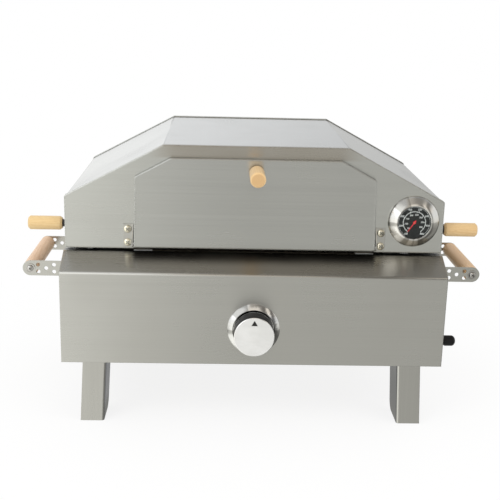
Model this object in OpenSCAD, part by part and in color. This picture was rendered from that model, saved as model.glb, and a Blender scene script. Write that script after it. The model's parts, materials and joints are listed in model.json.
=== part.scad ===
// Table-top gas pizza oven: sheet-steel base with folding legs, a rear-hinged
// five-facet hood, a drop-down front door, wooden grips and a dial thermometer.
// Axes: +X to the right of a person facing the door, +Y to the back, +Z up.
// Origin: on the ground, under the middle of the whole object. Millimetres.

/* [Hood] */
// Width of the hood over its side walls
hood_w = 510; // [500:1:510]
// Depth of the hood, front face to back face
hood_d = 306; // [306:1:306]
// Width of the flat roof
roof_w = 248; // [236:1:256]
// Height of the hood's lower edge above the ground
hood_z = 235; // [235:1:235]
// Height of the shoulder bend above the ground
shoulder_z = 306; // [302:1:310]
// Height of the flat roof above the ground
roof_z = 376; // [372:1:380]

/* [Base] */
// Width of the base box
base_w = 515; // [515:1:515]
// Run of the sloped apron in front of the hood
apron_run = 42; // [42:1:42]
// Height of the apron's front edge
apron_z = 212; // [211:0.5:213]
// Height of the base's flat top ledge
ledge_z = 231; // [231:1:231]
// Height of the skirt's lower edge
skirt_z = 86; // [84:1:88]
// Thickness of the sheet steel
sheet_t = 1.0; // [0.8:0.1:1.0]

/* [Door] */
// Half width of the door at its lower edge
door_hw = 162.3; // [161:0.1:162.5]
// Height of the door's top edge
door_top_z = 360; // [357:1:361]
// Radius of the wooden door knob
door_knob_r = 10; // [8:0.5:11]
// Length of the wooden door knob
door_knob_l = 50; // [40:1:55]

/* [Legs] */
// Outward splay of the open legs, degrees
leg_splay = 3; // [1:0.5:4]
// Width of a leg's face
leg_w = 32; // [28:1:32]
// Distance of the leg pivots from the middle
leg_x = 212.3; // [208:0.1:213]

/* [Control] */
// Radius of the control knob's cap
knob_r = 26.8; // [22:0.1:27]
// Height of the control knob's axis
knob_z = 136.8; // [136.8:0.1:136.8]

/* [Stone] */
// Width of the pizza stone
stone_w = 330; // [300:5:340]
// Thickness of the pizza stone
stone_t = 13.4; // [10:0.1:13.5]

/* [Hidden] */
$fn = 48;
steel = "silver";
wood = "burlywood";
gap = 0.02;                   // clearance between touching parts
bend_steps = 6;               // segments in a rounded corner

// Pieces are drawn with y = 0 at the hood's front face; place() moves them to the frame.
frame_y = -125.85;
hood_half = hood_w / 2;
base_half = base_w / 2;
front_y = -apron_run;         // front face of the base
back_y = hood_d;              // back faces of hood and base
side_x = base_half - 1.1;     // outer face of the base's side panels
pan_z = 123;                  // underside of the burner pan
pan_top = pan_z + 1;
hem_t = 1.95;                 // flat hem along the skirt's lower edge
hem_h = 8;
base_rivet_z = [110, 150, 190];
base_rivet_inset = 8;         // from the front and back faces

// ---------- outlines ----------
function unit(v) = v / norm(v);
// unit normal to the left of the run from a to b
function left_normal(a, b) = let (u = unit(b - a)) [-u[1], u[0]];
// point i of a path moved dist to the left, mitred at corners
function offset_point(path, i, dist) =
  let (n = len(path))
  i == 0 ? path[0] + dist * left_normal(path[0], path[1]) :
  i == n - 1 ? path[i] + dist * left_normal(path[i - 1], path[i]) :
  let (before = left_normal(path[i - 1], path[i]),
       after = left_normal(path[i], path[i + 1]),
       mitre = unit(before + after))
  path[i] + mitre * dist / (mitre * before);
function offset_path(path, dist) = [for (i = [0:len(path) - 1]) offset_point(path, i, dist)];
// +1 where the path turns left at point i, -1 where it turns right
function turn(path, i) =
  let (a = path[i] - path[i - 1], b = path[i + 1] - path[i]) sign(a[0] * b[1] - a[1] * b[0]);
// arc of radius r that rounds the corner b between a and c
function corner_arc(a, b, c, r) =
  let (to_a = unit(a - b), to_c = unit(c - b), half = acos(to_a * to_c) / 2,
       centre = b + unit(to_a + to_c) * r / sin(half),
       first = b + to_a * r / tan(half) - centre,
       last = b + to_c * r / tan(half) - centre,
       start = atan2(first[1], first[0]),
       raw = atan2(last[1], last[0]) - start,
       sweep = raw > 180 ? raw - 360 : raw < -180 ? raw + 360 : raw)
  [for (k = [0:bend_steps])
    let (a = start + sweep * k / bend_steps) centre + r * [cos(a), sin(a)]];
function round_open(path, radii) = [for (i = [0:len(path) - 1])
  each (i == 0 || i == len(path) - 1 || radii[i] < 0.05) ? [path[i]] :
    corner_arc(path[i - 1], path[i], path[i + 1], radii[i])];
function round_closed(points, radii) = let (n = len(points)) [for (i = [0:n - 1])
  each radii[i] < 0.05 ? [points[i]] :
    corner_arc(points[(i + n - 1) % n], points[i], points[(i + 1) % n], radii[i])];
function flip(list) = [for (i = [len(list) - 1:-1:0]) list[i]];
// bend radii of the sheet face whose sheet lies to its left (right where thick < 0)
function bend_radii(path, thick, inner_r) = [for (i = [0:len(path) - 1])
  i == 0 || i == len(path) - 1 ? 0 :
  turn(path, i) * thick > 0 ? inner_r + abs(thick) : inner_r];
// outline of a sheet laid on the left of an open path (on its right where thick < 0)
function sheet(path, thick, inner_r) = concat(
  round_open(path, bend_radii(path, thick, inner_r)),
  flip(round_open(offset_path(path, thick), bend_radii(path, -thick, inner_r))));
// quarter-ellipse profile that rises from [r, base] to the axis
function dome(r, base, rise, step) = [for (a = [0:step:90]) [r * cos(a), base + rise * sin(a)]];

// ---------- solids and placing ----------
module ex_x(x1, x2) translate([x1, 0, 0]) rotate([90, 0, 90]) linear_extrude(x2 - x1) children();
module ex_y(y1, y2) translate([0, y2, 0]) rotate([90, 0, 0]) linear_extrude(y2 - y1) children();
module rod_x(x1, x2, y, z, r)
  translate([x1, y, z]) rotate([0, 90, 0]) cylinder(h = x2 - x1, r = r);
module rod_y(y1, y2, x, z, r)
  translate([x, y1, z]) rotate([-90, 0, 0]) cylinder(h = y2 - y1, r = r);
module rod_z(z1, z2, x, y, r) translate([x, y, z1]) cylinder(h = z2 - z1, r = r);
module cone_y(y1, y2, x, z, r1, r2)
  translate([x, y1, z]) rotate([-90, 0, 0]) cylinder(h = y2 - y1, r1 = r1, r2 = r2);
module box(low, high) translate(low) cube(high - low);
// solid of revolution; profile is [radius, distance towards -Y from y]
module turn_y(x, y, z) translate([x, y, z]) rotate([90, 0, 0]) rotate_extrude() children();
// solid of revolution; profile is [radius, distance towards +X from x]
module turn_x(x, y, z) translate([x, y, z]) rotate([90, 0, 90]) rotate_extrude() children();

module place() translate([0, frame_y, 0]) children();
// side 1 is the right, as drawn; side -1 is its mirror image on the left
module on_side(side) mirror([side > 0 ? 0 : 1, 0, 0]) children();
module both_sides() for (side = [-1, 1]) on_side(side) children();
// end 0 is the base's front face, end 1 its back; y is measured inwards from either
module at_end(end) translate([0, end == 0 ? front_y : back_y, 0]) mirror([0, end, 0]) children();
module both_ends() for (end = [0, 1]) at_end(end) children();

// ---------- fasteners ----------
// domed cross-slot head standing out along -Y from y = 0
module screw_head(r, h) rotate([90, 0, 0]) difference() {
  rotate_extrude() polygon(concat([[0, 0], [r, 0]], dome(r, h * 0.35, h * 0.65, 18)));
  for (a = [45, 135])
    rotate([0, 0, a]) translate([-r * 0.5, -r * 0.11, h * 0.55]) cube([r, r * 0.22, h]);
}
// blind rivet with its head standing out along +X from x = 0
module rivet(r, h, grip) rotate([0, 90, 0]) union() {
  rotate_extrude() polygon(concat([[0, gap], [r, gap]], dome(r, gap + 0.25 * h, 0.75 * h, 22.5)));
  translate([0, 0, -grip - 0.3]) cylinder(h = grip + 0.5, r = r * 0.5);
  translate([0, 0, -grip - 1.6]) cylinder(h = 1.55, r = r * 0.8);
}
small_rivet_r = 3;
small_rivet_h = 1.2;
rivet_hole_r = 1.65;

// ---------- rear hinge ----------
hinge_y = back_y + 3.2;
hinge_z = 233;
hinge_half = 160;
hinge_plate_y = back_y + gap; // front face of the leaves
hinge_t = 1.2;
hinge_rivet_x = [-130, -50, 50, 130];
base_leaf_rivet_z = 216;
hood_leaf_rivet_z = 252;
knuckle_count = 11;
knuckle_w = 2 * hinge_half / knuckle_count;
knuckle_gap = 0.15;           // at each end of a knuckle

module hinge_rivet_holes(z) for (x = hinge_rivet_x)
  rod_y(back_y - 4, back_y + 4, x, z, rivet_hole_r);
module hinge_rivets(z) for (x = hinge_rivet_x)
  translate([x, hinge_plate_y + hinge_t, z]) rotate([0, 0, 90])
    rivet(small_rivet_r, small_rivet_h, 2.3);
// plate_z and finger_z are [low, high] of the plate and of the tabs to the knuckles
module hinge_leaf(first_knuckle, plate_z, finger_z, bore_r, rivet_z) difference() {
  union() {
    for (k = [first_knuckle:2:knuckle_count - 1]) {
      x1 = -hinge_half + k * knuckle_w + knuckle_gap;
      x2 = -hinge_half + (k + 1) * knuckle_w - knuckle_gap;
      rod_x(x1, x2, hinge_y, hinge_z, 3.2);
      box([x1, hinge_plate_y, finger_z[0]], [x2, hinge_plate_y + hinge_t, finger_z[1]]);
    }
    box([-hinge_half + knuckle_gap, hinge_plate_y, plate_z[0]],
      [hinge_half - knuckle_gap, hinge_plate_y + hinge_t, plate_z[1]]);
  }
  rod_x(-hinge_half - 5, hinge_half + 5, hinge_y, hinge_z, bore_r);
  hinge_rivet_holes(rivet_z);
}
module hinge_leaf_base() color("silver") place()
  hinge_leaf(0, [206, hinge_z - 3.7], [220, hinge_z], 1.56, base_leaf_rivet_z);
module hinge_leaf_hood() color("silver") place()
  hinge_leaf(1, [hinge_z + 3.7, 262], [hinge_z, 250], 1.53, hood_leaf_rivet_z);
module hinge_pin() color("silver") place() union() {
  rod_x(-hinge_half - 1.5, hinge_half + 1.5, hinge_y, hinge_z, 1.5);
  both_sides() rod_x(hinge_half + 0.3, hinge_half + 1.8, hinge_y, hinge_z, 2.4);
}
module hinge_rivets_hood() color("silver") place() hinge_rivets(hood_leaf_rivet_z);

// ---------- base ----------
gas_x = -190;                 // gas inlet
gas_z = knob_z;
gas_inlet_r = 7.94;
igniter_y = 5;
igniter_z = 106.5;
valve_screw_x = 17;
return_w = 15;                // panel returns that lap over the side panels
carry_grip_z = 196.3;
arm_y1 = 29;                  // outer faces of a carrying bracket's arms
arm_y2 = 166.5;
carry_rivet_y = [arm_y1 + 22, arm_y2 - 22];
carry_rivet_hole_r = 2.05;

module base_rivet_holes() both_sides() both_ends() for (z = base_rivet_z)
  rod_x(base_half - 4, base_half + 4, base_rivet_inset, z, rivet_hole_r);
module base_front_panel() color(steel) place() difference() {
  union() {
    ex_x(-base_half, base_half) polygon(sheet([[12, ledge_z - 14], [12, ledge_z], [0, ledge_z],
      [front_y, apron_z], [front_y, skirt_z]], sheet_t, 2.2));
    box([-base_half, front_y, skirt_z], [base_half, front_y + hem_t, skirt_z + hem_h]);
    both_sides() box([base_half - sheet_t, front_y, skirt_z],
      [base_half, front_y + return_w, apron_z - 3]);
  }
  rod_y(front_y - 1, front_y + 4, 0, knob_z, 7);
  both_sides() rod_y(front_y - 1, front_y + 4, valve_screw_x, knob_z, 1.8);
  // the rear flange stops short of the side panels
  both_sides() box([side_x - sheet_t - 0.2, 8.7, ledge_z - 15], [base_half + 1, 13, ledge_z - 1.1]);
  base_rivet_holes();
}
module base_side(side) color(steel) place() on_side(side) difference() {
  union() {
    ex_y(13, back_y - 1.1) polygon(sheet([[side_x - 10, skirt_z], [side_x, skirt_z],
      [side_x, ledge_z], [side_x - 15, ledge_z]], sheet_t, 1.5));
    // part beside the apron, [y, z]
    ex_x(side_x - sheet_t, side_x) polygon([
      [front_y + 2.1, skirt_z + 0.1], [13.1, skirt_z + 1.6],
      [13.1, ledge_z - 1.2], [0.4, ledge_z - 1.2],
      [front_y + 4.5, apron_z + 0.6], [front_y + 1.1, apron_z - 3.5],
      [front_y + 1.1, skirt_z + 8.2], [front_y + 2.1, skirt_z + 8.2]]);
  }
  base_rivet_holes();
  for (y = carry_rivet_y) rod_x(side_x - 3, side_x + 3, y, carry_grip_z, carry_rivet_hole_r);
  // warm-air louvre row under the hood edge
  for (k = [0:5]) box([side_x - 3, 190 + k * 17, 150], [side_x + 3, 196 + k * 17, 176]);
  if (side > 0) rod_x(side_x - 3, side_x + 3, igniter_y, igniter_z, 7.1);
}
module base_side_left() base_side(-1);
module base_side_right() base_side(1);
module base_back_panel() color(steel) place() difference() {
  union() {
    box([-base_half, back_y - sheet_t, skirt_z], [base_half, back_y, ledge_z]);
    box([-240.6, back_y - 10, ledge_z - sheet_t], [240.6, back_y, ledge_z]);
    box([-side_x + 11, back_y - hem_t, skirt_z], [side_x - 11, back_y, skirt_z + hem_h]);
    both_sides() box([base_half - sheet_t, back_y - return_w, skirt_z],
      [base_half, back_y, ledge_z - 1.2]);
  }
  rod_y(back_y - 4, back_y + 4, gas_x, gas_z, 8.05);
  base_rivet_holes();
  // combustion-air slots
  for (k = [-4:4], z = [170, 182]) if (k != 0)
    box([k * 38 - 13, back_y - 3, z], [k * 38 + 13, back_y + 3, z + 4]);
  hinge_rivet_holes(base_leaf_rivet_z);
}
module base_rivets() color("silver") place() union() {
  both_sides() for (z = base_rivet_z, y = [front_y + base_rivet_inset, back_y - base_rivet_inset])
    translate([base_half, y, z]) rivet(small_rivet_r, small_rivet_h, 2.2);
  hinge_rivets(base_leaf_rivet_z);
}

// ---------- burner pan and stone ----------
wire_x = 244;                 // where the ignition lead rises through the pan
wire_y = igniter_y + 35;

module burner_pan() color("gray") place() {
  pan_half = side_x - 1.2;
  pan_front = front_y + 2.2;
  pan_back = back_y - 2.1;
  rim_z = pan_z + 12;
  difference() {
    union() {
      box([-pan_half, pan_front, pan_z], [pan_half, pan_back, pan_top]);
      both_sides() box([pan_half - 1, pan_front, pan_z], [pan_half, pan_back, rim_z]);
      box([-pan_half, pan_back - 1, pan_z], [pan_half, pan_back, rim_z]);
      both_sides() box([30, pan_front, pan_z], [pan_half, pan_front + 1, rim_z]);
    }
    // primary and secondary air holes
    for (x = [-205:41:205], y = [40, 155, 275]) rod_z(pan_z - 1, pan_z + 3, x, y, 5);
    rod_z(pan_z - 1, pan_z + 3, wire_x, wire_y, 3);
    // clearance around the gas inlet
    box([gas_x - 16, back_y - 4, pan_top], [gas_x + 16, back_y - 1, rim_z + 1]);
    base_rivet_holes();
  }
}
module flame_spreader() color("dimgray") place() {
  foot_z = pan_top + gap;
  difference() {
    ex_y(55, 275) polygon(sheet([[172, foot_z], [152, foot_z], [152, 186],
      [-152, 186], [-152, foot_z], [-172, foot_z]], -1.2, 2));
    for (k = [0:2]) box([-170, 68 + k * 68, 134], [170, 126 + k * 68, 176]);
  }
}
rail_top = ledge_z + 1.2;
module stone_rail(side) color("gray") place() on_side(side) union() {
  box([138, 3, ledge_z + gap], [163, back_y - 4, rail_top]);
  box([161.8, 14, ledge_z - 14], [163, back_y - 12, rail_top]);
}
module stone_rail_left() stone_rail(-1);
module stone_rail_right() stone_rail(1);
module pizza_stone() color("wheat") place() translate([0, 0, rail_top + gap])
  linear_extrude(stone_t) polygon(round_closed([[-stone_w / 2, 12], [stone_w / 2, 12],
    [stone_w / 2, back_y - 8], [-stone_w / 2, back_y - 8]], [6, 6, 6, 6]));

// ---------- burner: seamed box-section loop with a round mixing tube ----------
loop_x = 121;                 // outer half width
loop_y1 = 82;
loop_y2 = 248;
loop_w = 20;                  // section width and height
loop_h = 18;
loop_wall = 1.2;
loop_mid = loop_w / 2;

module loop_rect(inset, radius) polygon(round_closed([
  [-loop_x + inset, loop_y1 + inset], [loop_x - inset, loop_y1 + inset],
  [loop_x - inset, loop_y2 - inset], [-loop_x + inset, loop_y2 - inset]],
  [for (i = [0:3]) radius]));
// the loop in plan, shrunk by the wall thickness on every edge
module loop_plan(wall) difference() {
  loop_rect(wall, 30 - wall);
  loop_rect(loop_w - wall, 10 + wall);
}
module loop_solid(wall) translate([0, 0, knob_z - loop_h / 2 + wall])
  linear_extrude(loop_h - 2 * wall) loop_plan(wall);
module flame_port(x, y) rod_z(knob_z + 5, knob_z + 14, x, y, 1.3);
module burner_tube() color("lightslategray") place() difference() {
  union() {
    loop_solid(0);
    rod_y(8, loop_y1 + 0.5, 0, knob_z, 8.8);
    rod_y(8, 14, 0, knob_z, 12);
    // welded feet on the pan
    both_sides() box([loop_x - loop_mid - 8, 160, pan_top + gap],
      [loop_x - loop_mid + 8, 172, knob_z - 5]);
  }
  loop_solid(loop_wall);
  rod_y(5, loop_y1 + 3, 0, knob_z, 7.6);
  // flame ports along the upper side
  for (x = [-84:14:84], y = [loop_y1 + loop_mid, loop_y2 - loop_mid]) flame_port(x, y);
  for (y = [loop_y1 + 34:14:loop_y2 - 34], x = [-loop_x + loop_mid, loop_x - loop_mid])
    flame_port(x, y);
  // air windows of the mixing tube
  box([-16, 18, knob_z - 3], [16, 32, knob_z + 3]);
}

// ---------- gas train ----------
pipe_y = -24;                 // cross run of the supply pipe
pipe_r = 3;
pipe_bore_r = 3.05;           // sockets that take the pipe

module gas_valve_body() color("goldenrod") place() difference() {
  union() {
    box([-23, front_y + 1.05, knob_z - 9], [23, front_y + 3.4, knob_z + 9]);
    rod_y(front_y + 3, -12, 0, knob_z, 11.5);
    rod_y(-14, -4, 0, knob_z, 7);
    rod_x(-26, 0, pipe_y, knob_z, 7.5);
  }
  rod_y(front_y, -30, 0, knob_z, 4.05);
  rod_y(-36.5, -18, 0, knob_z, 6.2);
  rod_y(-20, 0, 0, knob_z, 1.5);
  rod_x(-30, 0, pipe_y, knob_z, pipe_bore_r);
  both_sides() rod_y(front_y, front_y + 5, valve_screw_x, knob_z, 1.8);
}
module gas_orifice() color("goldenrod") place() difference() {
  union() {
    rod_y(-3.98, 2.02, 0, knob_z, 7, $fn = 6);
    rod_y(1.9, 7, 0, knob_z, 3.4);
    cone_y(6.9, 10.9, 0, knob_z, 3.4, 1.6);
  }
  rod_y(-5, 8, 0, knob_z, 1.5);
  rod_y(7, 12, 0, knob_z, 0.5);
}
// supply pipe: from the valve's side boss to the inlet at the back
module gas_pipe() color("peru") place() union() {
  rod_x(gas_x, -20, pipe_y, knob_z, pipe_r);
  rod_y(pipe_y, back_y - 6.2, gas_x, knob_z, pipe_r);
  // soldered elbow
  box([gas_x - 5, pipe_y - 5, knob_z - 5], [gas_x + 5, pipe_y + 5, knob_z + 5]);
  // flare nut at the valve
  rod_x(-31.5, -26.05, pipe_y, knob_z, 6.5, $fn = 6);
}
module gas_inlet_fitting() color("goldenrod") place() difference() {
  union() {
    rod_y(back_y - 8.5, back_y + 20, gas_x, gas_z, gas_inlet_r);
    rod_y(back_y + 0.05, back_y + 6.05, gas_x, gas_z, 12.5, $fn = 6);
    rod_y(back_y - 8.5, back_y - 1.1, gas_x, gas_z, 12.5, $fn = 6);
  }
  rod_y(back_y - 9, back_y - 6, gas_x, gas_z, pipe_bore_r);
  rod_y(back_y - 9, back_y + 22, gas_x, gas_z, 2.2);
  cone_y(back_y + 16, back_y + 20.1, gas_x, gas_z, 2.2, 5.2);
}

// ---------- control knob; profiles are [radius, distance in front of the base] ----------
module knob_bezel() color("gainsboro") place() turn_y(0, front_y, knob_z) polygon([
  [8.5, gap], [35.3, gap], [35.3, 1.2], [34.5, 2], [29, 5.4], [28.4, 5.6],
  [27.8, 5.4], [27.6, 4.8], [27.6, 1.4], [8.5, 1.4]]);
module valve_stem() color("darkgoldenrod") place() difference() {
  union() {
    rod_y(front_y - 17, -35.4, 0, knob_z, 4);
    rod_y(-35.9, -34.3, 0, knob_z, 5.6);
    rod_y(-34.6, -23, 0, knob_z, 3);
  }
  // flat on the stem's lower side
  box([-5, front_y - 18, knob_z - 5], [5, front_y - 5, knob_z - 2.6]);
}
module valve_thrust_washer() color("dimgray") place() difference() {
  rod_y(-34.2, -32.6, 0, knob_z, 6.1);
  rod_y(-36, -30, 0, knob_z, 3.06);
}
module control_knob() color("black") place() difference() {
  union() {
    rod_y(front_y - 31, front_y - 4.8, 0, knob_z, 24.6);
    rod_y(front_y - 8.6, front_y - 4.8, 0, knob_z, 25.6);
  }
  // socket that fits the stem and its flat
  difference() {
    rod_y(front_y - 18, front_y, 0, knob_z, 4.04);
    box([-5, front_y - 19, knob_z - 5], [5, front_y - 5, knob_z - 2.64]);
  }
}
module control_knob_cap() color("whitesmoke") place() turn_y(0, front_y, knob_z) polygon([
  [0, 31 + gap], [24.7, 31 + gap], [24.7, 8.7], [25.7, 8.6], [knob_r, 9.1],
  [knob_r, 31.2], [knob_r - 0.25, 31.8], [knob_r - 0.9, 32.1], [0, 32.3]]);

// ---------- igniter ----------
electrode_x = 138;
electrode_y = igniter_y + 95;
wire_r = 1.4;
wire_z = igniter_z + 32;      // height of the lead above the pan
wire_path = [
  [side_x - 24 - gap, igniter_y, igniter_z],
  [side_x - 30, igniter_y, igniter_z],
  [side_x - 30, wire_y, igniter_z],
  [wire_x, wire_y, igniter_z],
  [wire_x, wire_y, wire_z],
  [190, wire_y, wire_z],
  [190, electrode_y, wire_z],
  [electrode_x + 4.65, electrode_y, wire_z]];

module igniter_barrel() color("black") place() difference() {
  union() {
    rod_x(side_x - 24, side_x + 1, igniter_y, igniter_z, 7);
    rod_x(side_x + gap, side_x + 3, igniter_y, igniter_z, 9.5);
    rod_x(side_x + 2.9, side_x + 7, igniter_y, igniter_z, 8.2);
  }
  rod_x(side_x - 14, side_x + 8, igniter_y, igniter_z, 6.5);
}
module igniter_button() color("black") place() turn_x(side_x, igniter_y, igniter_z)
  polygon(concat([[0, -4], [6.4, -4], [6.4, 14.4], [7.4, 14.4]], dome(7.4, 24, 5.6, 15)));
module igniter_nut() color("silver") place() difference() {
  rod_x(side_x - sheet_t - 4.05, side_x - sheet_t - 0.05, igniter_y, igniter_z, 11, $fn = 6);
  rod_x(side_x - 10, side_x, igniter_y, igniter_z, 7.02);
}
// rod between two points that differ along one axis only
module wire_run(a, b) {
  if (a[0] != b[0]) rod_x(min(a[0], b[0]), max(a[0], b[0]), a[1], a[2], wire_r);
  else if (a[1] != b[1]) rod_y(min(a[1], b[1]), max(a[1], b[1]), a[0], a[2], wire_r);
  else rod_z(min(a[2], b[2]), max(a[2], b[2]), a[0], a[1], wire_r);
}
module igniter_wire() color("black") place() union() {
  for (i = [1:len(wire_path) - 1]) wire_run(wire_path[i - 1], wire_path[i]);
  for (i = [1:len(wire_path) - 2]) translate(wire_path[i]) sphere(r = wire_r);
}
module electrode_ceramic() color("white") place() {
  foot_z = pan_top + gap;
  difference() {
    union() {
      rod_z(foot_z, foot_z + 24, electrode_x, electrode_y, 3.2);
      rod_z(foot_z, foot_z + 4, electrode_x, electrode_y, 5.2);
      rod_z(pan_z + 14, pan_z + 17, electrode_x, electrode_y, 4.6);
    }
    rod_z(pan_z, pan_z + 30, electrode_x, electrode_y, 1.05);
  }
}
module electrode_rod() color("silver") place() {
  bend_z = pan_z + 33;
  union() {
    rod_z(pan_z + 2, bend_z, electrode_x, electrode_y, 1);
    translate([electrode_x, electrode_y, bend_z]) sphere(r = 1);
    rod_x(electrode_x - 16, electrode_x, electrode_y, bend_z, 1);
  }
}

// ---------- carrying handles ----------
carry_grip_x = 308.5;
carry_grip_r = 10.7;          // also half the bracket's height
carry_grip_l = arm_y2 - arm_y1 - 3.1;
bracket_t = 1.5;
bracket_x = side_x + 0.03;    // inner face of the bracket
arm_hole_pitch = 10.8;
bolt_depth = 27;

module carry_bracket(side) color(steel) place() on_side(side) difference() {
  union() {
    translate([0, 0, carry_grip_z - carry_grip_r]) linear_extrude(2 * carry_grip_r)
      polygon(sheet([[carry_grip_x - 6, arm_y1], [bracket_x, arm_y1],
        [bracket_x, arm_y2], [carry_grip_x - 6, arm_y2]], -bracket_t, 2.5));
    for (y = [arm_y1, arm_y2 - bracket_t]) {
      rod_y(y, y + bracket_t, carry_grip_x, carry_grip_z, carry_grip_r);
      box([carry_grip_x - 8, y, carry_grip_z - carry_grip_r],
        [carry_grip_x, y + bracket_t, carry_grip_z + carry_grip_r]);
    }
  }
  // hole columns through the arms, two holes and one hole in turn
  for (c = [1:4], z = c % 2 == 1 ? [-5, 5] : [0])
    rod_y(arm_y1 - 2, arm_y2 + 2, carry_grip_x - c * arm_hole_pitch, carry_grip_z + z, 2.75);
  rod_y(arm_y1 - 2, arm_y2 + 2, carry_grip_x, carry_grip_z, 2.6);
  for (y = carry_rivet_y) rod_x(side_x - 3, side_x + 5, y, carry_grip_z, carry_rivet_hole_r);
}
module carry_bracket_left() carry_bracket(-1);
module carry_bracket_right() carry_bracket(1);
module carry_grip(side) color(wood) place() on_side(side) difference() {
  translate([carry_grip_x, arm_y1 + bracket_t + 0.05, carry_grip_z]) rotate([-90, 0, 0])
    rotate_extrude() polygon([[0, 0], [carry_grip_r - 0.7, 0], [carry_grip_r, 0.7],
      [carry_grip_r, carry_grip_l - 0.7], [carry_grip_r - 0.7, carry_grip_l],
      [0, carry_grip_l]]);
  for (y = [arm_y1, arm_y2 - bolt_depth])
    rod_y(y, y + bolt_depth, carry_grip_x, carry_grip_z, 2.55);
}
module carry_grip_left() carry_grip(-1);
module carry_grip_right() carry_grip(1);
module carry_grip_bolts() color("silver") place() both_sides() for (end = [0, 1])
  translate([carry_grip_x, end == 0 ? arm_y1 : arm_y2, carry_grip_z]) mirror([0, end, 0]) union() {
    // washer, shank and head
    rod_y(-1.2 - gap, -gap, 0, 0, 6.4);
    rod_y(-1.3, 25, 0, 0, 2.5);
    translate([0, -1.2, 0]) screw_head(4.2, 2.6);
  }
module carry_bracket_rivets() color("silver") place() both_sides() for (y = carry_rivet_y)
  translate([side_x + 1.55, y, carry_grip_z]) rivet(4, 1.6, 2.6);

// ---------- legs ----------
pivot_z = 104;
pivot_r = 3;
leg_t = 1.2;                  // leg sheet
leg_inset = 2.5;              // a leg's end faces, from the base's end faces
web_d = 54;                   // depth of a leg's side web

module leg_hanger(end) color("gray") place() difference() {
  at_end(end) {
    box([-246, 1.15, skirt_z + 9], [246, 2.15, pan_z - 0.05]);
    box([-246, 1.15, pan_z - 1.05], [246, 12, pan_z - 0.05]);
  }
  both_sides() rod_y(front_y - 1, back_y + 1, leg_x, pivot_z, pivot_r + 0.02);
}
module leg_hanger_front() leg_hanger(0);
module leg_hanger_rear() leg_hanger(1);
module leg_pivot_pins() color("silver") place() both_sides() both_ends() union() {
  rod_y(1.16, 4.5, leg_x, pivot_z, pivot_r);
  rod_y(3.85, 5.4, leg_x, pivot_z, 6.5);
}
// [y, z] from the web's free lower corner, cuts that corner to a radius of 14
web_corner_cut = concat([[0.1, -11], [0.1, 14]],
  [for (a = [0:15:90]) [-14 + 14 * cos(a), 14 - 14 * sin(a)]], [[-14, -11]]);
// One bent sheet, drawn upright about its pivot: a web along Y on the inner side,
// a face at the front and one at the back
module leg_sheet() difference() {
  union() {
    // angle sections, long enough to be cut off at the ground
    both_ends() translate([0, 0, -pivot_z - 10]) linear_extrude(pivot_z + 14)
      polygon(sheet([[leg_w / 2, leg_inset], [-leg_w / 2, leg_inset],
        [-leg_w / 2, leg_inset + web_d]], -leg_t, 2));
    // bridge between them
    box([-leg_w / 2, front_y + leg_inset + 10, -16],
      [-leg_w / 2 + leg_t, back_y - leg_inset - 10, 4]);
    // pivot lugs
    both_ends() rod_y(leg_inset, leg_inset + leg_t, 0, 0, leg_w / 2);
  }
  both_ends() rod_y(leg_inset - 1, leg_inset + 4, 0, 0, pivot_r + 0.06);
  both_ends() translate([0, leg_inset + web_d, -pivot_z])
    ex_x(-leg_w / 2 - 1, -leg_w / 2 + 3) polygon(web_corner_cut);
}
module leg(side) color(steel) place() difference() {
  on_side(side) translate([leg_x, 0, pivot_z]) rotate([0, -leg_splay, 0]) leg_sheet();
  // everything below the ground
  box([-400, -200, -60], [400, 500, 0]);
}
module leg_left() leg(-1);
module leg_right() leg(1);

// ---------- hood ----------
// outer face, [x, z], from the right lower edge over the roof to the left
hood_line = [[hood_half, hood_z], [hood_half, shoulder_z], [roof_w / 2, roof_z],
  [-roof_w / 2, roof_z], [-hood_half, shoulder_z], [-hood_half, hood_z]];
wrapper_line = offset_path(hood_line, 1.1);
handle_y = 22;
handle_z = 263.2;
dial_x = 214;                 // thermometer
dial_z = 279;
door_screw_x = 170.8;
door_screw_z = [243.8, 262.2];
door_screw_hole_r = 2.05;

module hood_wrapper() color("gainsboro") place() {
  low_z = hood_z + gap;
  difference() {
    ex_y(1.1, back_y - 1.1) polygon(sheet([
      [hood_half - 10, low_z], [wrapper_line[0][0], low_z],
      for (i = [1:4]) wrapper_line[i],
      [wrapper_line[5][0], low_z], [-hood_half + 10, low_z]], sheet_t, 2));
    both_sides() rod_x(hood_half - 6, hood_half + 6, handle_y, handle_z, 3.1);
  }
}
// end plate facing -Y at y = 0, with its rim and a lower flange
module hood_plate(flange_d) {
  ex_y(0, sheet_t) polygon(round_closed(hood_line, [0, 4, 3, 3, 4, 0]));
  ex_y(0, 8) polygon(sheet(hood_line, sheet_t, 2));
  box([-240, 0, hood_z], [240, flange_d, hood_z + sheet_t]);
}
module door_opening() ex_y(-1, 4) polygon(round_closed([[-150, 246], [150, 246],
  [149, 328], [108, 349.5], [-108, 349.5], [-149, 328]], [5, 5, 5, 5, 5, 5]));
module hood_front_frame() color(steel) place() difference() {
  union() {
    hood_plate(10);
    box([-hood_half + 2.3, 0, hood_z], [hood_half - 2.3, 1.08, hood_z + sheet_t]);
  }
  door_opening();
  both_sides() for (z = door_screw_z) rod_y(-2, 4, door_screw_x, z, door_screw_hole_r);
  rod_y(-2, 4, dial_x, dial_z, 5.05);
}
module hood_back_panel() color(steel) place() difference() {
  translate([0, back_y, 0]) mirror([0, 1, 0]) hood_plate(6);
  // exhaust slots with round ends
  for (x = [-96:24:96]) {
    box([x - 8, back_y - 3, 338], [x + 8, back_y + 3, 343]);
    for (side = [-1, 1]) rod_y(back_y - 3, back_y + 3, x + side * 8, 340.5, 2.5);
  }
  hinge_rivet_holes(hood_leaf_rivet_z);
}
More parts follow.
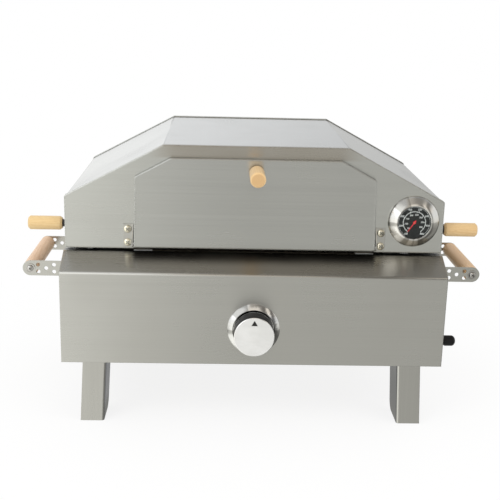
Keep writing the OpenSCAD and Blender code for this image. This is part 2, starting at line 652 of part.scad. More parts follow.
module hood_handle(side) color(wood) place() on_side(side) difference() {
  turn_x(hood_half, handle_y, handle_z)
    polygon([[0, 6], [7, 6], [9.4, 9.2], [9.4, 49.4], [7.4, 51.8], [0, 51.8]]);
  rod_x(hood_half + 3, hood_half + 28, handle_y, handle_z, 3.02);
}
module hood_handle_left() hood_handle(-1);
module hood_handle_right() hood_handle(1);
module hood_handle_studs() color("dimgray") place() both_sides() union() {
  rod_x(hood_half - 9, hood_half + 27, handle_y, handle_z, 3);
  rod_x(hood_half - 1.08, hood_half + 0.5, handle_y, handle_z, 8);
  rod_x(hood_half + 0.4, hood_half + 6 - gap, handle_y, handle_z, 5);
  rod_x(hood_half - 6.2, hood_half - 2.2, handle_y, handle_z, 6.3, $fn = 6);
}

// ---------- thermometer ----------
needle_angle = 34;            // rest angle of the needle, left of straight down
dial_r = 22.15;

module thermometer_case() color("silver") place() difference() {
  union() {
    rod_y(-9, -gap, dial_x, dial_z, 22.9);
    rod_y(-1, 12, dial_x, dial_z, 4.9);
    // probe
    rod_y(11, 58, dial_x, dial_z, 3);
    translate([dial_x, 58, dial_z]) sphere(r = 3);
  }
  rod_y(-10, -2, dial_x, dial_z, 22.2);
  rod_y(-3, 10, dial_x, dial_z, 1.6);
}
module thermometer_dial() color("black") place() difference() {
  rod_y(-7.4, -6.8, dial_x, dial_z, dial_r);
  rod_y(-8, -6, dial_x, dial_z, 1.2);
}
module thermometer_bezel() color("gainsboro") place() turn_y(dial_x, 0, dial_z) polygon([
  [22.95, gap], [35, gap], [35, 1], [34.6, 2], [32.6, 4.2], [28, 8], [25.4, 9.9],
  [24, 10.4], [22.7, 10.3], [22.3, 9.8], [22.3, 9.15], [22.95, 9.05]]);
module thermometer_lens() color("lightblue", 0.35) place()
  rod_y(-9, -8.5, dial_x, dial_z, dial_r);
module thermometer_nut() color("silver") place() difference() {
  union() {
    rod_y(sheet_t + 0.05, sheet_t + 5.05, dial_x, dial_z, 9, $fn = 6);
    // wings
    for (x = [dial_x - 12, dial_x + 12])
      box([x - 5, sheet_t + 1.5, dial_z - 1.2], [x + 5, sheet_t + 9, dial_z + 1.2]);
  }
  rod_y(0, 14, dial_x, dial_z, 4.95);
}
module thermometer_needle() color("red") place() union() {
  translate([dial_x, -7.7, dial_z]) rotate([90, 0, 0]) rotate([0, 0, -needle_angle]) union() {
    linear_extrude(0.45) polygon([[-0.9, 3.4], [0.9, 3.4], [0.75, 0],
      [0.28, -15.6], [-0.28, -15.6], [-0.75, 0]]);
    cylinder(h = 0.6, r = 1.9);
  }
  rod_y(-7.8, 8, dial_x, dial_z, 0.8);
}

// ---------- door ----------
door_y = -9;                  // front face
door_pin_y = -5;
door_pin_z = 243;
door_pin_r = 2;
door_ear_x = 163.5;           // inner face of a hinge ear
door_knob_z = 343.6;
// outer face, [x, z], from the right lower corner over the top to the left
door_line = [[door_hw, 238.5], [door_hw - 1.7, 334.5], [113.5, door_top_z],
  [-113.5, door_top_z], [-door_hw + 1.7, 334.5], [-door_hw, 238.5]];

module door_rim(y2) ex_y(door_y, y2) polygon(sheet(door_line, sheet_t, 1.8));
module door_panel() color(steel) place() difference() {
  union() {
    ex_y(door_y, door_y + sheet_t) polygon(round_closed(door_line, [1, 3, 3, 3, 3, 1]));
    // the rim behind the face starts above the pins
    difference() {
      door_rim(-1.2);
      box([-200, door_y + sheet_t, 230], [200, 0, door_pin_z]);
    }
    // and is rounded about them
    intersection() {
      door_rim(-0.5);
      rod_x(-200, 200, door_pin_y, door_pin_z, 4.3);
    }
  }
  rod_x(-200, 200, door_pin_y, door_pin_z, door_pin_r + 0.05);
  rod_y(-12, 0, 0, door_knob_z, 2.6);
}
module door_hinge(side) color(steel) place() on_side(side) difference() {
  union() {
    box([door_ear_x, -1.2 - gap, 237.5], [177, -gap, 269]);
    ex_x(door_ear_x, door_ear_x + 1.2) polygon(round_closed([[-gap, 237.5], [-gap, 269],
      [-1.5, 269], [-8.5, 250], [-8.5, 238.6]], [0, 0, 0, 3, 3]));
  }
  rod_x(160, 168, door_pin_y, door_pin_z, door_pin_r + 0.02);
  for (z = door_screw_z) rod_y(-4, 2, door_screw_x, z, door_screw_hole_r);
}
module door_hinge_left() door_hinge(-1);
module door_hinge_right() door_hinge(1);
module door_hinge_screws() color("silver") place() both_sides() for (z = door_screw_z)
  translate([door_screw_x, 0, z]) union() {
    rod_y(-1.4, 7, 0, 0, 2);
    rod_y(1.08, 4.2, 0, 0, 3.8);
    translate([0, -1.24, 0]) screw_head(5.2, 2.9);
  }
module door_hinge_pins() color("silver") place() both_sides() union() {
  rod_x(156, 164.75, door_pin_y, door_pin_z, door_pin_r);
  rod_x(164.72, 165.15, door_pin_y, door_pin_z, 3.3);
}
module door_knob() color(wood) place() {
  foot = 14.2;                // distance of the knob's near end from y = 0
  difference() {
    turn_y(0, 0, door_knob_z) polygon([[0, foot], [8.6, foot], [door_knob_r, 16],
      [door_knob_r, foot - 2 + door_knob_l], [door_knob_r - 2, foot + door_knob_l],
      [0, foot + door_knob_l]]);
    rod_y(-40, -10, 0, door_knob_z, 2.55);
  }
}
module door_knob_screw() color("silver") place() union() {
  rod_y(-38, -7, 0, door_knob_z, 2.5);
  // spacer between door and knob
  rod_y(-14.18, door_y - gap, 0, door_knob_z, 5);
  translate([0, -7.98, door_knob_z]) mirror([0, 1, 0]) screw_head(4.6, 2.8);
}

base_front_panel();
base_side_left();
base_side_right();
base_back_panel();
burner_pan();
flame_spreader();
stone_rail_left();
stone_rail_right();
pizza_stone();
burner_tube();
gas_orifice();
gas_valve_body();
gas_pipe();
gas_inlet_fitting();
knob_bezel();
igniter_barrel();
igniter_nut();
igniter_wire();
electrode_ceramic();
electrode_rod();
carry_bracket_left();
carry_bracket_right();
carry_grip_left();
carry_grip_right();
carry_grip_bolts();
carry_bracket_rivets();
leg_hanger_front();
leg_hanger_rear();
leg_pivot_pins();
base_rivets();
hinge_leaf_base();
leg_left();
leg_right();
hood_wrapper();
hood_front_frame();
hood_back_panel();
hinge_leaf_hood();
hinge_pin();
hinge_rivets_hood();
hood_handle_left();
hood_handle_right();
hood_handle_studs();
thermometer_case();
thermometer_bezel();
thermometer_dial();
thermometer_lens();
thermometer_nut();
door_hinge_left();
door_hinge_right();
door_hinge_screws();
door_hinge_pins();
thermometer_needle();
door_panel();
door_knob();
door_knob_screw();
valve_thrust_washer();
valve_stem();
control_knob();
control_knob_cap();
igniter_button();
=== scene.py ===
"""Looks for a table-top pizza oven: steel hood and base, beech grips, a gauge and a knob.

The oven stands on Z = 0 with its door facing -Y and X running left to right. The
scene is in metres; named sizes and places are in millimetres and scaled by MM.
"""

import json
import math

import bmesh
import bpy
from mathutils import Matrix, Vector


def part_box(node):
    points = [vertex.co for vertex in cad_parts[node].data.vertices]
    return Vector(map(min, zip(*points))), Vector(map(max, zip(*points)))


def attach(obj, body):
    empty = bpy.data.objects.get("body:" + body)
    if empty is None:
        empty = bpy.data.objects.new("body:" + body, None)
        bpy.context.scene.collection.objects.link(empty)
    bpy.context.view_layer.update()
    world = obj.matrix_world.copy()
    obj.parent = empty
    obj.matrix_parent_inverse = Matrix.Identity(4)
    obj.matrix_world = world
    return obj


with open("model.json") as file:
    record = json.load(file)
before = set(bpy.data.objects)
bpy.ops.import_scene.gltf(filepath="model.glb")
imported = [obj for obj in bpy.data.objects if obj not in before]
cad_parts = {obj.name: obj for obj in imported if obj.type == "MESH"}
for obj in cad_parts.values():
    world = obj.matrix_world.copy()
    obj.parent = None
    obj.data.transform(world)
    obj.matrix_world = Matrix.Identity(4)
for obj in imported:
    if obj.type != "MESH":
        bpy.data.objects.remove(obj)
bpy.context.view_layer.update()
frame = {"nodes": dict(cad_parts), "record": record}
nodes = frame["nodes"]
subparts = frame["record"].get("subparts") or {}
scene = bpy.context.scene

MM = 0.001
HOOD_FRONT = -125.85  # Y of the hood's front face
BASE_FRONT = HOOD_FRONT - 42.0
GAUGE_X, GAUGE_Z = 214.0, 279.0  # thermometer axis, along Y
KNOB_Z = 136.8  # control knob axis, along Y at X = 0
KNOB_FACE = BASE_FRONT - 32.3


# ---------------------------------------------------------------- node graphs
class Value:
    """A node output; arithmetic on it adds math or vector math nodes."""

    def __init__(self, graph, socket):
        self.graph = graph
        self.socket = socket

    def calc(self, operation, first, second):
        is_vector = self.socket.type == "VECTOR"
        build = self.graph.vector_math if is_vector else self.graph.math
        return build(operation, first, second)

    def __add__(self, other):
        return self.calc("ADD", self, other)

    def __radd__(self, other):
        return self.calc("ADD", other, self)

    def __sub__(self, other):
        return self.calc("SUBTRACT", self, other)

    def __rsub__(self, other):
        return self.calc("SUBTRACT", other, self)

    def __mul__(self, other):
        return self.calc("MULTIPLY", self, other)

    def __abs__(self):
        return self.graph.math("ABSOLUTE", self)

    def length(self):
        return self.graph.vector_math("LENGTH", self)

    def split(self):
        """The X, Y and Z parts."""
        parts = self.graph.node("ShaderNodeSeparateXYZ", self)
        return [Value(self.graph, socket) for socket in parts.outputs]

    def ramp(self, low, high, to=(0.0, 1.0), kind="SMOOTHSTEP"):
        """Map low..high onto the range `to`, held at both ends."""
        props = {"interpolation_type": kind, "clamp": True}
        return self.graph.output("ShaderNodeMapRange", self, low, high, *to, props=props)


class Graph:
    """The node tree of a material or world, written as expressions."""

    def __init__(self, owner):
        owner.use_nodes = True
        self.owner = owner
        self.tree = owner.node_tree
        self.tree.nodes.clear()
        self._normal = None

    def put(self, socket, value):
        if isinstance(value, Value):
            self.tree.links.new(value.socket, socket)
        elif value is not None:
            if socket.type == "RGBA" and len(value) == 3:
                value = (*value, 1.0)
            socket.default_value = value

    def node(self, kind, *values, props=None, **named):
        """Add a node; `values` fill its first inputs, None leaves one alone."""
        made = self.tree.nodes.new(kind)
        for key, value in (props or {}).items():
            setattr(made, key, value)
        for socket, value in zip(made.inputs, values):
            self.put(socket, value)
        for key, value in named.items():
            self.put(made.inputs[key.replace("_", " ")], value)
        return made

    def output(self, kind, *values, output=0, **named):
        return Value(self, self.node(kind, *values, **named).outputs[output])

    def coords(self, output="Object"):
        return self.output("ShaderNodeTexCoord", output=output)

    def normal(self):
        if self._normal is None:
            self._normal = self.output("ShaderNodeNewGeometry", output="Normal")
        return self._normal

    def math(self, operation, first, second=0.0):
        return self.output("ShaderNodeMath", first, second, 0.0, props={"operation": operation})

    def vector_math(self, operation, first, second=(0.0, 0.0, 0.0)):
        output = "Value" if operation in ("DOT_PRODUCT", "LENGTH") else "Vector"
        props = {"operation": operation}
        return self.output("ShaderNodeVectorMath", first, second, props=props, output=output)

    def join(self, x, y, z):
        return self.output("ShaderNodeCombineXYZ", x, y, z)

    def to_world(self, vector):
        props = {"vector_type": "VECTOR", "convert_from": "OBJECT", "convert_to": "WORLD"}
        return self.output("ShaderNodeVectorTransform", vector, props=props)

    def noise(self, place, scale=1.0, detail=2.0, rough=0.5, warp=0.0):
        return self.output("ShaderNodeTexNoise", Vector=place, Scale=scale, Detail=detail,
                           Roughness=rough, Distortion=warp)

    def cells(self, place, scale, output="Distance"):
        return self.output("ShaderNodeTexVoronoi", output=output, Vector=place, Scale=scale)

    def mix(self, first, second, amount):
        """Blend two colours."""
        props = {"data_type": "RGBA", "clamp_factor": True}
        unused = [None] * 5
        # A colour mix has its result third, after the float and vector results.
        return self.output("ShaderNodeMix", amount, *unused, first, second,
                           props=props, output=2)

    def mix_value(self, first, second, amount):
        props = {"data_type": "FLOAT", "clamp_factor": True}
        return self.output("ShaderNodeMix", amount, None, first, second, props=props)

    def mix_shader(self, first, second, amount):
        return self.output("ShaderNodeMixShader", amount, first, second)

    def bump(self, height, distance, strength=1.0, normal=None):
        return self.output("ShaderNodeBump", Height=height, Distance=distance,
                           Strength=strength, Normal=normal)

    def bevel_normal(self, radius, samples):
        """Surface direction turned softly over a bent edge."""
        return self.output("ShaderNodeBevel", props={"samples": samples}, Radius=radius)

    def crease(self, distance, local=True):
        """1 on open ground, falling to 0 in slots and corners."""
        props = {"samples": 8, "only_local": local}
        return self.output("ShaderNodeAmbientOcclusion", props=props, output="AO",
                           Distance=distance)

    def edge(self, radius):
        """0 on flat ground, 1 on an outer edge; it sets worn edges and painted edge highlights."""
        turn = self.vector_math("DOT_PRODUCT", self.bevel_normal(radius, samples=3),
                                self.normal())
        return turn.ramp(0.985, 0.80)

    def finish(self, shader, kind="ShaderNodeOutputMaterial"):
        self.node(kind, Surface=shader)
        return self.owner

    def principled(self, **inputs):
        return self.finish(self.output("ShaderNodeBsdfPrincipled", **inputs))


def new_material(name):
    """A material's empty graph and its object coordinates, in metres."""
    graph = Graph(bpy.data.materials.new(name))
    return graph, graph.coords()


def shade(rgb, factor):
    return tuple(min(1.0, c * factor) for c in rgb)


AXES = {"X": (1.0, 0.0, 0.0), "Y": (0.0, 1.0, 0.0), "Z": (0.0, 0.0, 1.0)}


def stretch(grain, along, across):
    """Texture scale along the grain axis and across it."""
    return tuple(along if a else across for a in AXES[grain])


# ------------------------------------------------------- painted shade on brushed steel
def dark_sides(graph, place, colour):
    """Painted shade on faces turned to either side, darkest low down and to the right."""
    sideways = abs(graph.coords("Normal").split()[0])
    low = place.split()[2].ramp(0.034, 0.008)
    right = place.split()[0].ramp(-0.05, 0.05)
    tone = graph.mix((0.20, 0.21, 0.25), (0.030, 0.034, 0.042), right)
    tone = graph.mix(tone, (0.025, 0.026, 0.03), low)
    return graph.mix(colour, tone, sideways.ramp(0.6, 0.95) * 0.96)


def door_heat(graph, place, colour):
    """Brownish painted shade on the strip above the door, and painted shadow on the sill below it.
    """
    z = place.split()[2]
    band = z.ramp(357.0 * MM, 362.0 * MM) * abs(place.split()[0]).ramp(0.150, 0.105)
    patchy = graph.noise(place * (10.0, 1.0, 30.0))
    band = band * patchy.ramp(0.2, 0.7, to=(0.75, 1.0))
    # Painted shade: a brownish band on the strip above the door.
    colour = graph.mix(colour, (0.440, 0.405, 0.350), band * 0.85)
    # Painted shadow on the sill below the door.
    sill = z.ramp(0.2400, 0.2385) * abs(place.split()[0]).ramp(0.1638, 0.1625)
    return graph.mix(colour, (0.020, 0.019, 0.017), sill * 0.95)


def mouth_smoke(graph, place, colour):
    """Painted shade on the apron's top under the oven's mouth, and a painted brown reflection
    there.
    """
    x, y, z = place.split()
    # Painted shade on the back of the apron's top, next to the hood.
    apron_shade = y.ramp((HOOD_FRONT - 29.0) * MM, (HOOD_FRONT - 9.0) * MM)
    apron_shade = apron_shade * abs(x + 0.0).ramp(0.170, 0.158)
    patchy = graph.noise(place * (14.0, 30.0, 30.0))
    apron_shade = apron_shade * patchy.ramp(0.25, 0.65, to=(0.80, 1.0))
    apron_shade = apron_shade * z.ramp(0.208, 0.214)
    # Painted brown reflection of the hood front, growing towards the middle and the right.
    brown_reflection = z.ramp(0.208, 0.214) * x.ramp(-0.20, 0.0, to=(0.20, 0.55))
    colour = graph.mix(colour, (0.40, 0.365, 0.31), brown_reflection)
    return graph.mix(colour, (0.075, 0.066, 0.052), apron_shade * 0.80)


def mouth_gap(graph, place, colour):
    """Wide black shadow where the base meets the hood."""
    gap = graph.crease(0.016, local=False).ramp(0.86, 0.30)
    gap = gap * place.split()[2].ramp(0.205, 0.215)
    return graph.mix(colour, (0.016, 0.015, 0.013), gap * 0.94)


def sheet_gap(graph, place, colour):
    """Thin shadow in the joints between sheets."""
    gap = graph.crease(0.004, local=False).ramp(0.60, 0.15)
    return graph.mix(colour, (0.050, 0.048, 0.044), gap * 0.55)


# ------------------------------------------------------------------ materials
def brushed_steel(name, grain="X", rgb=(0.60, 0.605, 0.575), rough=0.24, aniso=0.80,
                  waviness=1.0, fold=0.0016, marks=None, gap_shadow=sheet_gap):
    """Stainless sheet brushed along one axis, with soft folds of the given radius."""
    graph, place = new_material(name)
    fine = graph.noise(place * stretch(grain, along=7.0, across=1900.0), rough=0.6)
    medium = graph.noise(place * stretch(grain, along=2.6, across=620.0))
    broad = graph.noise(place * stretch(grain, along=1.2, across=90.0), detail=1.0)
    streak = fine * 0.40 + (medium * 0.34 + broad * 0.26)
    smudge = graph.noise(place, scale=9.0, detail=3.0, warp=0.3)
    cloud = graph.noise(place, scale=3.5)

    colour = graph.mix(shade(rgb, 0.955), shade(rgb, 1.035),
                       streak.ramp(0.30, 0.70, kind="LINEAR"))
    red, green, blue = rgb
    colour = graph.mix(colour, shade((red, green * 0.985, blue * 0.95), 0.88),
                       smudge.ramp(0.50, 0.78, to=(0.0, 0.16)))
    # Painted highlight on the outer edges; large folds carry a wider, stronger and brighter one.
    edge_radius, highlight_strength, light = (0.0007, 0.40, 1.30) if fold < 0.002 else (0.0014, 0.75, 1.62)
    colour = graph.mix(colour, shade(rgb, light), graph.edge(edge_radius) * highlight_strength)
    # The marks function paints shade into the colour.
    if marks:
        colour = marks(graph, place, colour)
    colour = gap_shadow(graph, place, colour)

    roughness = (rough - 0.04) + streak * 0.08
    roughness = roughness + smudge.ramp(0.42, 0.78, to=(0.0, 0.06))
    roughness = roughness + (cloud - 0.5) * 0.05
    wave = graph.bump(graph.noise(place, scale=3.2, detail=0.0, rough=0.4), distance=0.0016,
                      strength=0.14 * waviness, normal=graph.bevel_normal(fold, samples=6))
    brushing = graph.noise(place * stretch(grain, along=3.0, across=240.0), detail=0.0)
    normal = graph.bump(brushing, distance=0.00006, strength=0.02, normal=wave)
    # A slight tilt keeps the cross product from vanishing on faces square to the grain.
    tilt = (0.011, 0.017, 0.023)
    grain_way = graph.to_world(tuple(a + t for a, t in zip(AXES[grain], tilt)))
    tangent = graph.vector_math("CROSS_PRODUCT", graph.normal(), grain_way)
    return graph.principled(Base_Color=colour, Metallic=1.0, Roughness=roughness,
                            Anisotropic=aniso, Tangent=tangent, Normal=normal)


def turned_metal(name, centre, rgb, rough, aniso, groove):
    """Metal turned on a lathe about an axis along Y through centre (x, z)."""
    graph, place = new_material(name)
    x, y, z = (place - (centre[0], 0.0, centre[1])).split()
    spoke = graph.join(x, 0.0, z)
    radius = spoke.length()
    rings = graph.noise(graph.join(radius * groove, y * groove, 3.7), detail=3.0, rough=0.6)
    blotch = graph.noise(place, scale=60.0, detail=3.0)
    around = graph.vector_math("NORMALIZE", spoke) * (1.9, 1.9, 1.9)
    reflection_sector = graph.noise(around + (4.1, 7.7, 2.3), detail=1.0)

    red, green, blue = rgb
    colour = graph.mix(shade(rgb, 0.90), shade(rgb, 1.06), rings)
    # Painted reflection: dark brownish wedges around the ring, set by angle.
    colour = graph.mix(rgb, colour, reflection_sector.ramp(0.46, 0.60))
    colour = graph.mix(colour, shade((red, green * 0.99, blue * 0.95), 0.42),
                       reflection_sector.ramp(0.50, 0.58) * 0.80)
    colour = graph.mix(colour, shade(rgb, 0.80), blotch.ramp(0.52, 0.72, to=(0.0, 0.16)))
    colour = graph.mix(colour, (0.95, 0.95, 0.93), graph.edge(0.0004) * 0.4)
    roughness = (rough - 0.04) + (rings * 0.08 + blotch.ramp(0.45, 0.75, to=(0.0, 0.06)))
    normal = graph.bump(rings, distance=0.00010, strength=0.25)
    return graph.principled(Base_Color=colour, Metallic=1.0, Roughness=roughness,
                            Anisotropic=aniso, Tangent=graph.to_world(spoke), Normal=normal)


def knob_cap(name):
    """Polished face and rear rim, with a black band painted on the side as its dark reflection."""
    graph, place = new_material(name)
    x, y, z = (place - (0.0, 0.0, KNOB_Z * MM)).split()
    radius = graph.join(x, 0.0, z).length()
    band = (y.ramp((BASE_FRONT - 10.6) * MM, (BASE_FRONT - 10.3) * MM, to=(1.0, 0.0))
            * y.ramp((BASE_FRONT - 31.5) * MM, (BASE_FRONT - 31.2) * MM))
    band = band * radius.ramp(0.0262, 0.0265)
    face = y.ramp((BASE_FRONT - 31.9) * MM, (BASE_FRONT - 32.15) * MM)
    mist = graph.noise(place, scale=90.0, detail=3.0, rough=0.55)
    scratch = graph.noise(place * (900.0, 60.0, 70.0), rough=0.6)
    rings = graph.noise(graph.join(radius * 2600.0, 0.0, 1.3))
    cloud = graph.noise(place * (30.0, 30.0, 55.0))
    satin = face * cloud.ramp(0.3, 0.7, to=(0.40, 0.58))

    colour = graph.mix((0.80, 0.80, 0.79), (0.90, 0.90, 0.89), mist)
    # Painted dark reflection: the side band is made black and dull.
    colour = graph.mix(colour, (0.006, 0.006, 0.0065), band * 0.98)
    colour = graph.mix(colour, (0.95, 0.95, 0.935), face)
    polish = 0.10 + (mist * 0.06 + scratch * 0.04)
    return graph.principled(
        Base_Color=colour,
        Metallic=(1.0 - band) - satin,
        Roughness=graph.mix_value(polish, 0.30, band),
        Normal=graph.bump(rings, distance=0.00006, strength=0.12),
        Specular_IOR_Level=graph.mix_value(0.5, 0.07, band),
    )


def plain_metal(name, rgb, rough, spangle=0.0, heat=False, worn=0.4, scale=1.0, dark=0.75,
                crease=0.0):
    """Unbrushed metal, with zinc spangle, heat colours or painted shade in creases by choice."""
    graph, place = new_material(name)
    stain = graph.noise(place, scale=22.0 * scale, detail=5.0, rough=0.6, warp=0.5)
    micro = graph.noise(place, scale=700.0 * scale, rough=0.6)
    colour = graph.mix(shade(rgb, 1.05), shade(rgb, dark), stain.ramp(0.35, 0.72))
    colour = graph.mix(colour, shade(rgb, 0.7), micro * 0.25)
    roughness = (rough - 0.05) + (stain * 0.12 + micro * 0.06)
    if spangle:
        stretched = place + place * (0.3, 0.1, 0.2)
        flake = graph.cells(stretched, scale=130.0, output="Color").split()[0]
        colour = graph.mix(colour, shade(rgb, 1.3), flake * spangle)
        roughness = roughness + flake * 0.12
    if heat:
        band = graph.noise(place, scale=9.0, detail=3.0, warp=1.0)
        straw, purple, blue = (0.42, 0.36, 0.27), (0.30, 0.22, 0.24), (0.16, 0.20, 0.32)
        tint = graph.mix(straw, purple, band.ramp(0.40, 0.56))
        tint = graph.mix(tint, blue, band.ramp(0.54, 0.68))
        colour = graph.mix(colour, tint, stain.ramp(0.34, 0.66, to=(0.15, 0.75)))
    colour = graph.mix(colour, shade(rgb, 1.5), graph.edge(0.0005) * worn)
    # Painted shade in slots and creases.
    if crease:
        colour = graph.mix(colour, (0.03, 0.028, 0.022), graph.crease(crease).ramp(0.85, 0.40))
    uneven = graph.bump(stain, distance=0.0004, strength=0.12)
    normal = graph.bump(micro, distance=0.00008, strength=0.25, normal=uneven)
    return graph.principled(Base_Color=colour, Metallic=1.0, Roughness=roughness, Normal=normal)


def beech(name, axis, centre, tint, seed):
    """Turned beech under thin lacquer: one solid texture gives side grain and end rings."""
    graph, place = new_material(name)
    axis_index = "XYZ".index(axis)
    local = place - centre
    parts = local.split()
    along = parts.pop(axis_index)
    warp = graph.noise((local + (seed, seed * 0.7, seed * 1.3))
                       * stretch(axis, along=9.0, across=45.0))
    # The tree's heart lies outside the part, so the rings pass through as arcs.
    first = parts[0] + (0.034 + seed * 0.003)
    second = parts[1] + 0.026
    radius = graph.math("SQRT", first * first + second * second)
    radius = radius + (warp - 0.5) * 0.0050
    radius = radius + along * 0.020
    rings_per_metre = 430.0
    ring = graph.math("FRACT", radius * rings_per_metre)
    late_wood = ring.ramp(0.35, 0.95) * ring.ramp(1.0, 0.955)
    fibre = graph.noise((local + (seed, 0.0, seed)) * stretch(axis, along=34.0, across=1500.0),
                        detail=3.0, rough=0.6)
    fleck = graph.noise((local + (0.0, seed, seed)) * stretch(axis, along=190.0, across=1900.0),
                        detail=1.0, rough=0.4).ramp(0.62, 0.72)
    patch = graph.noise(local * stretch(axis, along=14.0, across=40.0))
    end_grain = abs(graph.coords("Normal").split()[axis_index]).ramp(0.75, 0.97)

    light, middle, deep = (
        tuple(c * t for c, t in zip(rgb, tint))
        for rgb in ((0.80, 0.585, 0.330), (0.690, 0.450, 0.215), (0.430, 0.235, 0.095)))
    colour = graph.mix(light, middle, late_wood * 0.62)
    colour = graph.mix(colour, middle, fibre.ramp(0.42, 0.75, to=(0.0, 0.40)))
    colour = graph.mix(colour, deep, fleck * 0.42)
    colour = graph.mix(colour, middle, patch.ramp(0.45, 0.80, to=(0.0, 0.25)))
    colour = graph.mix(colour, deep, end_grain * 0.38)
    colour = graph.mix(colour, shade(light, 1.12), graph.edge(0.0009) * 0.30)
    height = fibre * 0.6 + (late_wood * -0.3 + fleck * -0.5)
    return graph.principled(
        Base_Color=colour,
        Roughness=0.40 + (fibre * 0.14 + end_grain * 0.12),
        Normal=graph.bump(height, distance=0.00018, strength=0.30),
        Coat_Weight=0.35,
        Coat_Roughness=0.22,
    )


def plastic(name, rgb=(0.007, 0.007, 0.0075), rough=0.42):
    """Fine-grained moulding with a little dust."""
    graph, place = new_material(name)
    grain = graph.noise(place, scale=1300.0, rough=0.6)
    dust = graph.noise(place, scale=55.0, detail=4.0, rough=0.6)
    colour = graph.mix(rgb, shade(rgb, 2.2), dust.ramp(0.52, 0.75, to=(0.0, 0.55)))
    colour = graph.mix(colour, (0.045, 0.045, 0.047), graph.edge(0.0005) * 0.5)
    return graph.principled(
        Base_Color=colour,
        Roughness=(rough - 0.04) + (grain * 0.08 + dust.ramp(0.5, 0.8, to=(0.0, 0.15))),
        Normal=graph.bump(grain, distance=0.00009, strength=0.30),
        Specular_IOR_Level=0.28,
    )


def paint(name, rgb, rough, glow=0.0):
    """Paint or print; a little glow keeps small marks legible."""
    graph, place = new_material(name)
    fine = graph.noise(place, scale=900.0, detail=3.0, rough=0.6)
    broad = graph.noise(place, scale=120.0)
    colour = graph.mix(shade(rgb, 0.86), shade(rgb, 1.10), fine)
    colour = graph.mix(colour, shade(rgb, 0.8), broad.ramp(0.5, 0.8, to=(0.0, 0.2)))
    return graph.principled(
        Base_Color=colour,
        Roughness=rough + broad * 0.10,
        Normal=graph.bump(fine, distance=0.00004, strength=0.2),
        Emission_Color=rgb,
        Emission_Strength=glow,
    )


def pizza_stone(name):
    """Sandy stone with grit, pits and scorched patches."""
    graph, place = new_material(name)
    cloud = graph.noise(place, scale=14.0, detail=4.0, rough=0.6)
    grit = graph.noise(place, scale=420.0, detail=3.0, rough=0.65)
    grain = graph.cells(place, scale=520.0)
    pit = graph.cells(place, scale=160.0).ramp(0.10, 0.26, to=(1.0, 0.0))
    scorch = graph.noise(place, scale=6.0, detail=3.0, rough=0.6, warp=0.8)
    colour = graph.mix((0.60, 0.50, 0.37), (0.74, 0.66, 0.53), cloud)
    colour = graph.mix(colour, (0.45, 0.36, 0.26), grit.ramp(0.52, 0.70, to=(0.0, 0.55)))
    colour = graph.mix(colour, (0.86, 0.81, 0.72), grain.ramp(0.18, 0.05, to=(0.0, 0.5)))
    colour = graph.mix(colour, (0.25, 0.19, 0.14), pit * 0.5)
    colour = graph.mix(colour, (0.27, 0.19, 0.13), scorch.ramp(0.56, 0.78, to=(0.0, 0.45)))
    height = (grit + grain * 0.4) - pit * 0.8
    normal = graph.bump(height, distance=0.0006, strength=0.5)
    return graph.principled(Base_Color=colour, Roughness=0.92, Normal=normal)


def glazed_ceramic(name):
    """White glaze with traces of soot."""
    graph, place = new_material(name)
    fine = graph.noise(place, scale=300.0, detail=3.0, rough=0.6)
    soot = graph.noise(place, scale=70.0, detail=4.0, rough=0.6)
    colour = graph.mix((0.84, 0.82, 0.77), (0.92, 0.91, 0.88), fine)
    colour = graph.mix(colour, (0.42, 0.36, 0.30), soot.ramp(0.55, 0.75, to=(0.0, 0.45)))
    return graph.principled(Base_Color=colour, Roughness=0.28, Coat_Weight=0.5,
                            Coat_Roughness=0.12,
                            Normal=graph.bump(fine, distance=0.0001, strength=0.15))


def clear_lens(name):
    """Flat clear glass: nearly all light passes, a little glances off."""
    graph, place = new_material(name)
    dust = graph.noise(place, scale=350.0, detail=3.0, rough=0.6)
    fresnel = graph.output("ShaderNodeFresnel", IOR=1.45)
    glance = (fresnel + dust.ramp(0.55, 0.8, to=(0.0, 0.03))) * 0.42
    clear = graph.output("ShaderNodeBsdfTransparent", Color=(0.96, 0.975, 0.97))
    gloss = graph.output("ShaderNodeBsdfGlossy", Color=(0.95, 0.97, 1.0), Roughness=0.03)
    return graph.finish(graph.mix_shader(clear, gloss, glance))


STEEL_X = brushed_steel("steel_brushed_x")
STEEL_BASE = brushed_steel("steel_brushed_base", rgb=(0.568, 0.566, 0.536), rough=0.27,
                           marks=mouth_smoke, gap_shadow=mouth_gap)
STEEL_FRAME = brushed_steel("steel_brushed_frame", marks=door_heat, fold=0.0026)
STEEL_DOOR = brushed_steel("steel_brushed_door", rgb=(0.555, 0.56, 0.535), waviness=1.3,
                           fold=0.0030)
STEEL_Y = brushed_steel("steel_brushed_y", "Y", rgb=(0.60, 0.605, 0.605), rough=0.22)
STEEL_Z = brushed_steel("steel_brushed_z", "Z", rgb=(0.56, 0.555, 0.525), rough=0.28,
                        aniso=0.6, waviness=0.6, fold=0.0009, marks=dark_sides)
STEEL_BRACKET = brushed_steel("steel_bracket", rgb=(0.56, 0.555, 0.52), aniso=0.4,
                              waviness=0.3, fold=0.0006)
ZINC = plain_metal("zinc_sheet", (0.60, 0.61, 0.61), rough=0.38, spangle=0.35)
HINGE = plain_metal("hinge_steel", (0.58, 0.58, 0.57), rough=0.30, worn=0.5, crease=0.003)
HEAT = plain_metal("heat_tinted_steel", (0.46, 0.44, 0.41), rough=0.36, heat=True)
DARK = plain_metal("blackened_steel", (0.075, 0.072, 0.07), rough=0.40, worn=0.6)
FASTENER = plain_metal("plated_fastener", (0.88, 0.83, 0.68), rough=0.16, worn=0.5, scale=3.0,
                       dark=0.62, crease=0.0022)
BOLT = plain_metal("bolt_steel", (0.60, 0.585, 0.56), rough=0.22, worn=0.5, scale=3.0,
                   dark=0.60, crease=0.0022)
